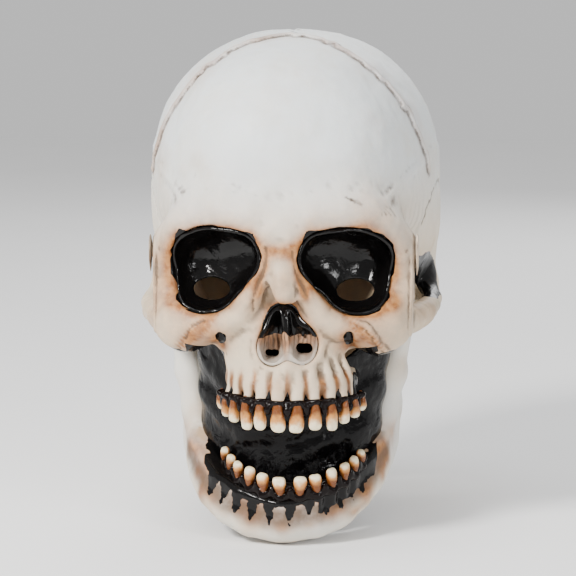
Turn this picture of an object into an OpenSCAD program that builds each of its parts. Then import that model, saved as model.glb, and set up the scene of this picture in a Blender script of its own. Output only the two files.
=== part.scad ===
// Over-the-head latex skull mask with a moving lower jaw.
// The origin is midway between the wearer's ears, on the jaw's hinge line.
// +X is the mask's own left, the face looks along -Y and +Z is up. Millimetres.
// The jaw is laid out with its teeth nearly closed, then turned open about X.

/* [Braincase] */
// Full width of the braincase
cranium_w = 192; // [188:1:196]
// Height of the crown above the hinge line
crown_z = 184; // [180:1:188]
// Distance from the hinge line back to the occiput
occiput_y = 118; // [115:1:121]
// Distance from the hinge line forward to the forehead
forehead_y = 108; // [106:1:111]
// Height of the widest part of the braincase
widest_z = 84; // [80:1:88]

/* [Latex] */
// Thickness of the cast latex skin
wall = 3; // [2.6:0.1:3.4]
// Thickness of the black latex cups behind the sockets and the nose
cup_wall = 2; // [1.6:0.1:2.4]
// Glue line between pieces that are bonded together
glue = 0.15; // [0.1:0.05:0.3]

/* [Eyes] */
// Width of each see-through eye hole
eye_hole_w = 24; // [20:1:26]
// Height of each see-through eye hole
eye_hole_h = 14; // [11:1:15]
// Distance of each eye hole from the middle of the face
eye_hole_x = 45; // [42:1:48]
// Height of the eye holes above the hinge line
eye_hole_z = 25; // [22:1:27]

/* [Nose] */
// Sideways shift of the nose and both rows of teeth, a quirk of the sculpt
bite_shift = 5.5; // [0:0.5:6]
// Diameter of each breathing hole in the floor of the nose
nostril_d = 7; // [5:0.5:8]

/* [Teeth] */
// Half width of the upper row of teeth
upper_arch_a = 47; // [45:0.5:48]
// Depth of the upper row of teeth, front to back
upper_arch_b = 50; // [48:0.5:52]
// Half width of the lower row of teeth
lower_arch_a = 46; // [44:0.5:47]
// Depth of the lower row of teeth, front to back
lower_arch_b = 48; // [46:0.5:50]
// Length of a front upper tooth below its gum
upper_tooth_h = 16.5; // [15:0.5:17]
// Length of a front lower tooth above its gum
lower_tooth_h = 10.5; // [9:0.5:11]
// Height of the upper gum line, below the hinge line
upper_gum_z = -41.5; // [-42:0.5:-41]
// Height of the lower gum line in front when the jaw is closed
lower_gum_z = -70.5; // [-71:0.5:-70]
// How much higher the lower gum line would be at the arch's widest point
lower_rise = 14; // [10:1:15]

/* [Jaw] */
// Angle the jaw hangs open at rest
jaw_open = 15; // [14:0.5:16]
// Half width of the jaw at its hinge end
ramus_x = 71.5; // [71:0.5:72]

/* [Slit] */
// Width of the slit at the back
slit_w = 4; // [3:0.5:6]
// Height of the top of the slit
slit_top_z = 26; // [15:1:30]

/* [Hidden] */
SIDES = ["left", "right"];
TEETH_A_SIDE = 6;

form_fn = 26;   // facets round the skull's large forms
cup_fn = 20;    // facets round the sockets
small_fn = 10;  // facets round teeth, gums and ridges
far = 200;      // reach of a cut that goes right through
cranium_r = cranium_w / 2;
parietal_y = 28;
parietal_r = [cranium_r, occiput_y - parietal_y, crown_z - 2 - widest_z];
frontal_y = -30;
frontal_r = [81, forehead_y + frontal_y, crown_z - 88];
arch_y = -72;   // middle of the upper row's ellipse
jaw_arch_y = -75; // middle of the lower row's ellipse
tooth_angles = [7.5, 21, 34, 46, 57, 68];
tooth_widths = [10, 9, 8.8, 8, 7.6, 6.8];
tooth_lengths = [1, 0.97, 1.03, 0.85, 0.7, 0.5];

jaw_fn = 14;    // facets round the jaw's forms
pad_fn = 16;    // facets round the foam pads
membrane_a = 58; // half width of the mouth's black lining
membrane_b = 50; // depth of the mouth's black lining
gum_top = upper_gum_z + 3; // lower edge of the upper jaw's bone
lap = 0.4;      // how far a form's end sits inside the next one

// ---- shared shapes ----

// An ellipsoid, made larger or smaller all round by grow
module blob(at, r, grow = 0, fn = form_fn) {
    translate(at) scale([for (k = r) k + grow]) sphere(r = 1, $fn = fn);
}

// The children and their mirror image in the mask's middle plane
module both_sides() {
    children();
    mirror([1, 0, 0]) children();
}

// A point on a row of teeth, t degrees round from the front. The row climbs towards the back by rise.
function on_arch(a, b, mid_y, t, z, rise = 0) =
    [bite_shift + a * sin(t), mid_y - b * cos(t), z + rise * (1 - cos(t))];

// A rounded bar that follows a row of teeth
module arch_bar(a, b, mid_y, z, r, reach, rise = 0) {
    step = reach / 6;
    for (k = [-6:5])
        hull() {
            blob(on_arch(a, b, mid_y, k * step, z, rise), r, 0, small_fn);
            blob(on_arch(a, b, mid_y, (k + 1) * step, z, rise), r, 0, small_fn);
        }
}

// One tooth that hangs below the origin: a root in the gum, a neck and a chisel tip
module tooth(w, h, grow = 0) {
    hull() {
        blob([0, 0, 1], [w * 0.38, 3 + grow, 2.2 + grow], 0, small_fn);
        blob([0, -0.4, 1 - h * 0.5], [w / 2, 3.2 + grow, 3], 0, small_fn);
        blob([0, 0.2, 2 - h], [w * 0.42, 1.9 + grow, 2], 0, small_fn);
    }
}

// ---- the skull's forms ----

module cranium_form(grow) {
    hull() {
        blob([0, parietal_y, widest_z], parietal_r, grow);
        blob([0, frontal_y, 88], frontal_r, grow);
        blob([0, 34, 55], [cranium_r - 2, 82, 45], grow);
    }
}

// Side of the skull behind the cheek arch
module temple_form(grow) {
    hull() both_sides() {
        blob([42, -48, 24], [21, 26, 32], grow);
        blob([42, 8, 24], [21.5, 26, 32], grow);
    }
}

// Back of the neck, open below
module nape_form(grow) {
    hull() {
        blob([0, 38, 46], [78, 66, 44], grow);
        blob([0, 26, -92], [56, 52, 14], grow);
    }
}

// Brow, cheeks and the bone between the sockets
module face_form(grow) {
    hull() both_sides() {
        blob([55, -76, 56], [20, 24, 20], grow);
        blob([20, -90, 62], [24, 23, 18], grow);
        blob([54, -74, 10], [18, 24, 15], grow);
        blob([16, -94, 12], [18, 23, 18], grow);
    }
}

// Upper jaw above the teeth
module maxilla_form(grow) {
    hull() both_sides() {
        blob([20, -90, 4], [20, 27, 16], grow);
        blob([15, -102, -34], [18, 18, 12], grow);
        blob([27, -88, -34], [13, 20, 12], grow);
    }
}

// Nasal bones, a short ridge over the nose
module nasal_ridge() {
    hull() {
        blob([0, -108, 44], [9, 8, 8], 0, small_fn);
        blob([bite_shift / 2, -114, 24], [10, 8, 6], 0, small_fn);
    }
}

// Ragged raised lip where the frontal bone meets the parietals
module coronal_lip() {
    lip_steps = 10;
    for (k = [-lip_steps:lip_steps - 1])
        hull() {
            blob(lip_point(k), [3, 3, 3], 0, 8);
            blob(lip_point(k + 1), [3, 3, 3], 0, 8);
        }
}

// A point just under the braincase's skin, k steps round from the crown
function lip_point(k) = let (t = k * 9, back = -14 + 6 * (1 - cos(t)))
    [89 * sin(t), back - 8 * cos(k * 90), widest_z + 97.5 * cos(t) * (1 - 0.004 * pow(sin(t), 2))];

// Cheekbone and the arch that runs back from it to the ear
module cheek_arch() {
    hull() {
        blob([64, -84, 4], [13, 14, 12], 0, small_fn);
        blob([78, -62, 6], [9, 12, 9], 0, small_fn);
    }
    hull() {
        blob([78, -62, 6], [9, 12, 9], 0, small_fn);
        blob([88, -30, 9], [6, 8, 7.5], 0, small_fn);
    }
    hull() {
        blob([88, -30, 9], [6, 8, 7.5], 0, small_fn);
        blob([88, 4, 10], [6, 8, 8], 0, small_fn);
    }
    hull() {
        blob([88, 4, 10], [6, 8, 8], 0, small_fn);
        blob([80, 26, 22], [10, 10, 12], 0, small_fn);
    }
}

// The rounded, drooping socket
module orbit_form(grow) {
    hull() {
        blob([26, -104, 45], [16, 20, 19], grow, cup_fn);
        blob([50, -94, 42], [17, 22, 18], grow, cup_fn);
        blob([44, -97, 31], [23, 21, 18], grow, cup_fn);
    }
}

// The nose opening, narrow above and wide below
module nose_form(grow) {
    translate([bite_shift, 0, 0])
        hull() {
            blob([0, -115, 16], [5, 14, 6], grow, small_fn);
            blob([11, -112, -8], [9, 14, 10], grow, small_fn);
            blob([-11, -112, -8], [9, 14, 10], grow, small_fn);
        }
}

// Everything the skull's skin leaves open below, seen from the side
module below_skull() {
    rotate([90, 0, 90])
        linear_extrude(height = 2 * far, center = true)
            polygon([
                [-far, -far], [-far, gum_top], [-60, gum_top], [-54, -8], [-10, -8],
                [14, -50], [26, -72], [60, -80], [far, -80], [far, -far]
            ]);
}

// Room for the wearer's cheeks, mouth and neck, open at the bottom
module face_passage() {
    translate([0, 0, -far])
        linear_extrude(height = far + 5)
            offset(r = 6)
                polygon([[48, 38], [48, -46], [28, -88], [-28, -88], [-48, -46], [-48, 38]]);
}

// The hole the wearer looks through
module eye_hole() {
    translate([eye_hole_x, -90, eye_hole_z])
        rotate([90, 0, 0])
            resize([eye_hole_w, eye_hole_h, 60])
                cylinder(r = 10, h = 60, center = true, $fn = 24);
}

module nostril(x, z) {
    translate([x, -90, z])
        rotate([90, 0, 0])
            cylinder(d = nostril_d, h = 60, center = true, $fn = 20);
}

// ---- skull pieces ----

module skull_shell() {
    color([0.90, 0.88, 0.80])
        difference() {
            union() {
                cranium_form(0);
                nape_form(0);
                face_form(0);
                temple_form(0);
                maxilla_form(0);
                nasal_ridge();
                coronal_lip();
                both_sides() cheek_arch();
            }
            cranium_form(-wall);
            nape_form(-wall);
            face_form(-wall);
            temple_form(-wall);
            maxilla_form(-wall);
            face_passage();
            both_sides() orbit_form(glue);
            nose_form(glue);
            below_skull();
            translate([-slit_w / 2, 40, -far]) cube([slit_w, far, far + slit_top_z]);
        }
}

module left_eye_cup() {
    color([0.03, 0.03, 0.03])
        difference() {
            intersection() {
                orbit_form(0);
                union() {
                    face_form(-1);
                    hull() {
                        blob([26, -84, 45], [16, 12, 19], 0, cup_fn);
                        blob([44, -80, 31], [23, 12, 18], 0, cup_fn);
                    }
                }
            }
            orbit_form(-cup_wall);
            eye_hole();
        }
}

module right_eye_cup() {
    mirror([1, 0, 0]) left_eye_cup();
}

module nasal_cup() {
    color([0.05, 0.04, 0.04]) {
        difference() {
            intersection() {
                nose_form(0);
                translate([-far / 2, -109, -far / 2]) cube(far);
            }
            nose_form(-cup_wall);
            nostril(bite_shift - 10, -11);
            nostril(bite_shift + 9, -9);
        }
        hull() {
            blob([bite_shift, -110, 10], [1.6, 9, 9], 0, small_fn);
            blob([bite_shift, -108, -12], [1.6, 9, 4], 0, small_fn);
        }
    }
}

module upper_gum() {
    color([0.03, 0.02, 0.02])
        difference() {
            arch_bar(upper_arch_a - 1, upper_arch_b - 1, arch_y, gum_top - glue - 2.4, [4.4, 4.4, 2.4], 74);
            for (s = [-1, 1])
                for (n = [1:TEETH_A_SIDE])
                    upper_tooth_at(s, n) upper_crown(n, glue);
        }
}

// Places a tooth in the upper row: side -1 is the mask's right and 1 its left
module upper_tooth_at(side, n) {
    t = side * tooth_angles[n - 1];
    translate(on_arch(upper_arch_a, upper_arch_b, arch_y, t, upper_gum_z - 0.6)) rotate([0, 0, t]) children();
}

module upper_crown(n, grow = 0) {
    tooth(tooth_widths[n - 1] + 2 * grow, upper_tooth_h * tooth_lengths[n - 1], grow);
}

module upper_tooth(side, n) {
    color([0.93, 0.85, 0.62])
        upper_tooth_at(side, n) upper_crown(n);
}

// Black latex that lines the mouth and the cheeks and joins the skull to the jaw
module mouth_membrane() {
    color([0.02, 0.02, 0.02])
        intersection() {
            translate([bite_shift * 0.6, -44, -50])
                rotate([12, 0, 0])
                    difference() {
                        membrane_band(membrane_a, membrane_b, 120);
                        membrane_band(membrane_a - cup_wall, membrane_b - cup_wall, 122);
                    }
            membrane_window();
        }
}

module membrane_band(a, b, h) {
    linear_extrude(height = h, center = true)
        intersection() {
            scale([a, b]) circle(r = 1, $fn = 40);
            translate([-far / 2, -far]) square(far);
        }
}

// Where the membrane shows between the skull and the jaw, seen from the side
module membrane_window() {
    rotate([90, 0, 90])
        linear_extrude(height = far, center = true)
            polygon([[-far / 2, -48], [-66, -48], [-58, -10], [-40, -10], [-44, -58], [-60, -80], [-63, -72], [-far / 2, -72]]);
}

// ---- soft pieces inside the skull ----

module crown_pad() {
    color([0.25, 0.25, 0.27])
        hull() {
            blob([0, 6, 164], [46, 50, 9], 0, pad_fn);
            blob([0, 8, 150], [54, 60, 8], 0, pad_fn);
        }
}

module brow_pad() {
    color([0.25, 0.25, 0.27])
        hull() {
            blob([0, -94, 92], [12, 6, 13], 0, pad_fn);
            both_sides() blob([32, -86, 92], [9, 6, 12], 0, pad_fn);
        }
}

module left_temple_pad() {
    color([0.25, 0.25, 0.27])
        hull() {
            blob([80, 8, 90], [5, 22, 18], 0, pad_fn);
            blob([81, 34, 90], [5, 22, 18], 0, pad_fn);
        }
}

module right_temple_pad() {
    mirror([1, 0, 0]) left_temple_pad();
}

module nape_pad() {
    color([0.25, 0.25, 0.27])
        hull() both_sides() blob([22, 101, 82], [24, 7, 22], 0, pad_fn);
}

// Cloth patch that stops the slit from tearing upwards
module slit_patch() {
    color([0.82, 0.78, 0.68])
        translate([0, 100, slit_top_z + 12])
            rotate([-14, 0, 0])
                translate([0, -85.2, -10])
                    rotate([0, 0, 80])
                        rotate_extrude(angle = 20, $fn = 96) translate([84, 0]) square([1.2, 20]);
}

// Elastic strap that carries the jaw from the skull's side
module left_jaw_elastic() {
    color([0.10, 0.10, 0.10])
        translate([64.4, -17, -42]) cube([1.2, 15, 44]);
}

module right_jaw_elastic() {
    mirror([1, 0, 0]) left_jaw_elastic();
}

// ---- jaw pieces, laid out closed ----

// Turns a piece that is laid out closed to where it hangs at rest
module hung_open() {
    rotate([jaw_open, 0, 0]) children();
}

// A jaw blob, drawn with one moved inwards by inset so that a hollow can open inwards
module jaw_blob(at, r, grow, inset) {
    blob(at, r, grow, jaw_fn);
    if (inset > 0)
        blob(at + inset * [-at[0] / 80, 0.7, 0.1], r, grow, jaw_fn);
}

module jaw_side_form(grow, inset) {
    condyle = [ramus_x, 0, -4];
    coronoid = [ramus_x, -32, -8];
    gonion = [63, -33, -72];
    ramus_foot = [61, -52, -70];
    molar = [53, -72, -77];
    canine = [36, -102, -84];
    chin_side = [20, -114, -88];
    hull() {
        jaw_blob(condyle, [4, 7, 7], grow, inset);
        jaw_blob(coronoid, [4, 7, 7], grow, inset);
        jaw_blob(gonion, [7, 13, 12], grow, inset);
        jaw_blob(ramus_foot, [7, 12, 12], grow, inset);
    }
    hull() {
        jaw_blob(gonion, [7, 13, 12], grow - lap, inset);
        jaw_blob(ramus_foot, [7, 12, 12], grow - lap, inset);
        jaw_blob(molar, [8, 12, 17], grow, inset);
    }
    hull() {
        jaw_blob(molar, [8, 12, 17], grow - lap, inset);
        jaw_blob([45, -90, -80], [8, 11, 17], grow, inset);
        jaw_blob(canine, [8, 10, 15], grow, inset);
    }
    hull() {
        jaw_blob(canine, [8, 10, 15], grow - lap, inset);
        jaw_blob(chin_side, [10, 10, 16], grow, inset);
    }
}

module jaw_form(grow, inset) {
    both_sides() jaw_side_form(grow, inset);
    hull() both_sides() {
        jaw_blob([20, -114, -88], [10, 10, 16], grow - lap, inset);
        jaw_blob([9, -116, -90], [12, 11, 16], grow, inset);
    }
}

// Everything over the lower gum line, seen from the side
module above_lower_gum() {
    slope = lower_rise / lower_arch_b;
    edge = [for (y = [-far, -62]) [y, lower_gum_z - 0.5 + lower_rise + slope * (y - jaw_arch_y)]];
    rotate([90, 0, 90])
        linear_extrude(height = far, center = true)
            polygon(concat(edge, [[-62, far], [-far, far]]));
}

module jaw_shell() {
    color([0.88, 0.86, 0.80])
        hung_open()
            difference() {
                jaw_form(0, 0);
                jaw_form(-wall, 14);
                above_lower_gum();
                arch_bar(lower_arch_a - 1, lower_arch_b - 1, jaw_arch_y, lower_gum_z - 2.5, [4.9, 4.9, 3.6], 80, lower_rise);
            }
}

module lower_gum() {
    color([0.03, 0.02, 0.02])
        hung_open()
            difference() {
                arch_bar(lower_arch_a - 1, lower_arch_b - 1, jaw_arch_y, lower_gum_z - 2.5, [4.6, 4.6, 3.3], 72, lower_rise);
                for (s = [-1, 1])
                    for (n = [1:TEETH_A_SIDE])
                        lower_tooth_at(s, n) lower_crown(n, glue);
            }
}

// Places a tooth in the lower row, pointing up
module lower_tooth_at(side, n) {
    t = side * tooth_angles[n - 1];
    translate(on_arch(lower_arch_a, lower_arch_b, jaw_arch_y, t, lower_gum_z, lower_rise))
        rotate([0, 0, t]) mirror([0, 0, 1]) children();
}

module lower_crown(n, grow = 0) {
    tooth(tooth_widths[n - 1] * 0.92 + 2 * grow, lower_tooth_h * (0.25 + 0.75 * tooth_lengths[n - 1]), grow);
}

module lower_tooth(side, n) {
    color([0.93, 0.85, 0.62])
        hung_open()
            lower_tooth_at(side, n) lower_crown(n);
}

// Foam cup that the wearer's chin rests in
module chin_cup() {
    color([0.25, 0.25, 0.27])
        hung_open()
            hull() {
                both_sides() blob([14, -94, -96], [12, 7, 9], 0, pad_fn);
                both_sides() blob([12, -90, -90], [12, 7, 9], 0, pad_fn);
            }
}

// Webbing under the wearer's chin, from one side of the jaw to the other
module chin_strap() {
    color([0.10, 0.10, 0.10])
        hung_open()
            translate([-48, -74, -94]) cube([96, 18, 2]);
}

skull_shell();
left_eye_cup();
right_eye_cup();
nasal_cup();
upper_gum();
for (s = [0, 1])
    for (n = [1:TEETH_A_SIDE]) {
        upper_tooth(1 - 2 * s, n);
        lower_tooth(1 - 2 * s, n);
    }
mouth_membrane();
crown_pad();
brow_pad();
left_temple_pad();
right_temple_pad();
nape_pad();
slit_patch();
left_jaw_elastic();
right_jaw_elastic();
jaw_shell();
lower_gum();
chin_cup();
chin_strap();
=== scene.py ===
"""Looks for an over-the-head latex skull mask with a moving jaw.

Every rigid piece is sculpted as a field of signed distances (Clay), in millimetres in the row frame, and
turned into a mesh in metres. Pieces of the jaw are sculpted closed, then turned to where the jaw rests.
"""
import math

import bpy
import numpy as np
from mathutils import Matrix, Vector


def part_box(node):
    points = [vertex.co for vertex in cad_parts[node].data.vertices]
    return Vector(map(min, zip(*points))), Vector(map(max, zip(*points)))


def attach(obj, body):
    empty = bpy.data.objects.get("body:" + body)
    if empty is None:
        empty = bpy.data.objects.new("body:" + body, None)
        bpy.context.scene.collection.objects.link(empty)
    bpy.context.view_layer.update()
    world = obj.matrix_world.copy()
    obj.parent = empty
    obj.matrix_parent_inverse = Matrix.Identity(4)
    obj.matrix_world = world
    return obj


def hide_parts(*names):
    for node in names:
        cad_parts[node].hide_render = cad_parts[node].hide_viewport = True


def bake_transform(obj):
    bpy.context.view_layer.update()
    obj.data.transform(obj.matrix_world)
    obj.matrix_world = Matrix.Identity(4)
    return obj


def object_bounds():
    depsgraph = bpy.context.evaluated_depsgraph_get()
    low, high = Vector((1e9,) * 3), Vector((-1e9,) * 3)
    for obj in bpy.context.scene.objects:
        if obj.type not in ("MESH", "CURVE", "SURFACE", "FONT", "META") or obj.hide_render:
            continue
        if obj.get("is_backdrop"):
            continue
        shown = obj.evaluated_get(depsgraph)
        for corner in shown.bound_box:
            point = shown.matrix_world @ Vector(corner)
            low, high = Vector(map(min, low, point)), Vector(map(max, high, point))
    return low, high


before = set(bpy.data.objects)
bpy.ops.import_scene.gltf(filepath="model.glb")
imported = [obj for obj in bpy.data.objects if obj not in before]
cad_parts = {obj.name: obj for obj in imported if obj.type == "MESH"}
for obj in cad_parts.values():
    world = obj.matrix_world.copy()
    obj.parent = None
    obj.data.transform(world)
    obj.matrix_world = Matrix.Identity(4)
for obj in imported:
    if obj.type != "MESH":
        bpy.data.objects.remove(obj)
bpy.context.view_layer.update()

import openvdb
from mathutils import Euler, Vector

MM = 0.001
MESH_EASE = 0.02    # how far a skin's mesh may simplify where it is nearly flat
FAR = 40.0          # distance in mm that stands for far outside
WALL = 3.0          # thickness of the cast skin
JAW_OPEN = 15.0     # degrees that the jaw hangs open at rest
SIDES = {"left": 1, "right": -1}
TEETH_A_SIDE = 6


def corners(node):
    """A CAD node's lowest and highest corners in mm."""
    lo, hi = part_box(node)
    return np.array(lo) / MM, np.array(hi) / MM


def middle(node):
    """The middle of a CAD node's box in mm."""
    lo, hi = corners(node)
    return (lo + hi) / 2


# ---------------------------------------------------------------- driving sizes, from the frame
SKULL_LO, SKULL_HI = corners("skull_shell")
CROWN_Z = SKULL_HI[2]
BACK_Y = SKULL_HI[1]
HALF_W = SKULL_HI[0]
EYE = middle("left_eye_cup")
NOSE_X = middle("nasal_cup")[0]
GUM_LO, GUM_HI = corners("upper_gum")
GUM_TOP = GUM_HI[2]
BITE_X = (GUM_LO[0] + GUM_HI[0]) / 2
UPPER_MID_Y = -72.0     # the middle of each row's arch
LOWER_MID_Y = -75.0
LOWER_GUM_Z = -70.5     # the lower gum line at the front, with the jaw closed
LOWER_RISE = 14.0       # how far that line climbs from the front to the arch's middle
FORAMINA = ((-37, -3), (42, -2))    # x and z of the small hole under each socket
NOSTRILS = ((NOSE_X - 11, -11.5, 2.4), (NOSE_X + 9, -8.5, 3.4))     # x, z and radius
EYE_HOLE = (45, 25)     # x and z of the hole to see through, then its half width and half height
EYE_HOLE_R = (11.5, 6.6)


# ---------------------------------------------------------------- clay: signed distances on a grid
class Form:
    """A solid: its signed distance in mm, negative inside, and the box that it fills."""

    def __init__(self, lo, hi, distance):
        self.lo, self.hi, self.distance = np.array(lo, float), np.array(hi, float), distance

    def mirrored(self):
        lo, hi = self.lo.copy(), self.hi.copy()
        lo[0], hi[0] = -self.hi[0], -self.lo[0]
        return Form(lo, hi, lambda x, y, z: self.distance(-x, y, z))

    def grown(self, by):
        return Form(self.lo - by, self.hi + by, lambda x, y, z: self.distance(x, y, z) - by)


def egg(at, r, p=2.0, turn=(0, 0, 0)):
    """An ellipsoid, squarer where p is over 2, turned by degrees about X, Y and Z."""
    m = np.array(Euler([math.radians(a) for a in turn]).to_matrix())
    reach = np.abs(m) @ np.array(r, float)

    def distance(x, y, z):
        q = (x - at[0], y - at[1], z - at[2])
        if any(turn):
            q = [m[0, i] * q[0] + m[1, i] * q[1] + m[2, i] * q[2] for i in range(3)]
        a = [np.abs(c) / s for c, s in zip(q, r)]
        k = np.maximum(sum(c ** p for c in a), 1e-6) ** (1 / p)
        slope = np.sqrt(sum((c ** (p - 1) / s) ** 2 for c, s in zip(a, r))) * k ** (1 - p)
        return (k - 1) / np.maximum(slope, 1 / max(r))
    return Form(np.array(at) - reach, np.array(at) + reach, distance)


def rope(points, radii):
    """Round bars end to end, with a radius at each point."""
    points = [np.array(p, float) for p in points]

    def distance(x, y, z):
        best = None
        for a, b, ra, rb in zip(points, points[1:], radii, radii[1:]):
            d = b - a
            t = ((x - a[0]) * d[0] + (y - a[1]) * d[1] + (z - a[2]) * d[2]) / max(d @ d, 1e-6)
            t = np.clip(t, 0, 1)
            away = np.sqrt((x - a[0] - t * d[0]) ** 2 + (y - a[1] - t * d[1]) ** 2
                           + (z - a[2] - t * d[2]) ** 2)
            here = away - (ra + t * (rb - ra))
            best = here if best is None else np.minimum(best, here)
        return best
    r = max(radii)
    return Form(np.min(points, axis=0) - r, np.max(points, axis=0) + r, distance)


def prism(outline, axis, lo, hi, round_by=0.0):
    """A polygon run along an axis from lo to hi. Its points are on the other two axes, in order."""
    flat = [i for i in range(3) if i != axis]
    pts = np.array(outline, float)

    def distance(x, y, z):
        c = (x, y, z)
        u, v, w = c[flat[0]], c[flat[1]], c[axis]
        near, inside = np.full(np.broadcast(u, v).shape, 1e9), np.zeros(np.broadcast(u, v).shape, bool)
        for (ax, ay), (bx, by) in zip(pts, np.roll(pts, -1, axis=0)):
            ex, ey = bx - ax, by - ay
            t = np.clip(((u - ax) * ex + (v - ay) * ey) / (ex * ex + ey * ey), 0, 1)
            near = np.minimum(near, (u - ax - t * ex) ** 2 + (v - ay - t * ey) ** 2)
            if ay != by:
                inside ^= ((ay > v) != (by > v)) & (u < (bx - ax) * (v - ay) / (by - ay) + ax)
        side = np.sqrt(near) * np.where(inside, -1, 1) - round_by
        return np.maximum(side, np.maximum(lo - w, w - hi))
    box = np.zeros((2, 3))
    box[:, axis] = lo, hi
    for i, k in enumerate(flat):
        box[:, k] = pts[:, i].min() - round_by, pts[:, i].max() + round_by
    return Form(box[0], box[1], distance)


def blend_min(a, b, k):
    """The smaller of two distances, rounded over k mm where they meet."""
    h = np.maximum(k - np.abs(a - b), 0) / k
    return np.minimum(a, b) - h * h * k / 4


def joined(forms, k):
    """Several forms as one, blended over k mm."""
    def distance(x, y, z):
        d = forms[0].distance(x, y, z)
        for f in forms[1:]:
            d = blend_min(d, f.distance(x, y, z), k)
        return d
    lo = np.min([f.lo for f in forms], axis=0) - k / 4
    hi = np.max([f.hi for f in forms], axis=0) + k / 4
    return Form(lo, hi, distance)


class Noise:
    """Smooth random relief between about -1 and 1, with lumps of a given size in mm."""

    def __init__(self, size, seed):
        self.size = size
        self.table = np.random.default_rng(seed).uniform(-1, 1, (64, 64, 64)).astype(np.float32)

    def __call__(self, x, y, z):
        parts = []
        for c in (x, y, z):
            c = np.asarray(c, float) / self.size + 512
            i = np.floor(c).astype(int)
            f = c - i
            parts.append((i % 64, (i + 1) % 64, f * f * (3 - 2 * f)))
        (x0, x1, fx), (y0, y1, fy), (z0, z1, fz) = parts
        t = self.table
        levels = []
        for z in (z0, z1):
            front = t[x0, y0, z] * (1 - fx) + t[x1, y0, z] * fx
            rear = t[x0, y1, z] * (1 - fx) + t[x1, y1, z] * fx
            levels.append(front * (1 - fy) + rear * fy)
        return levels[0] * (1 - fz) + levels[1] * fz


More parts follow.
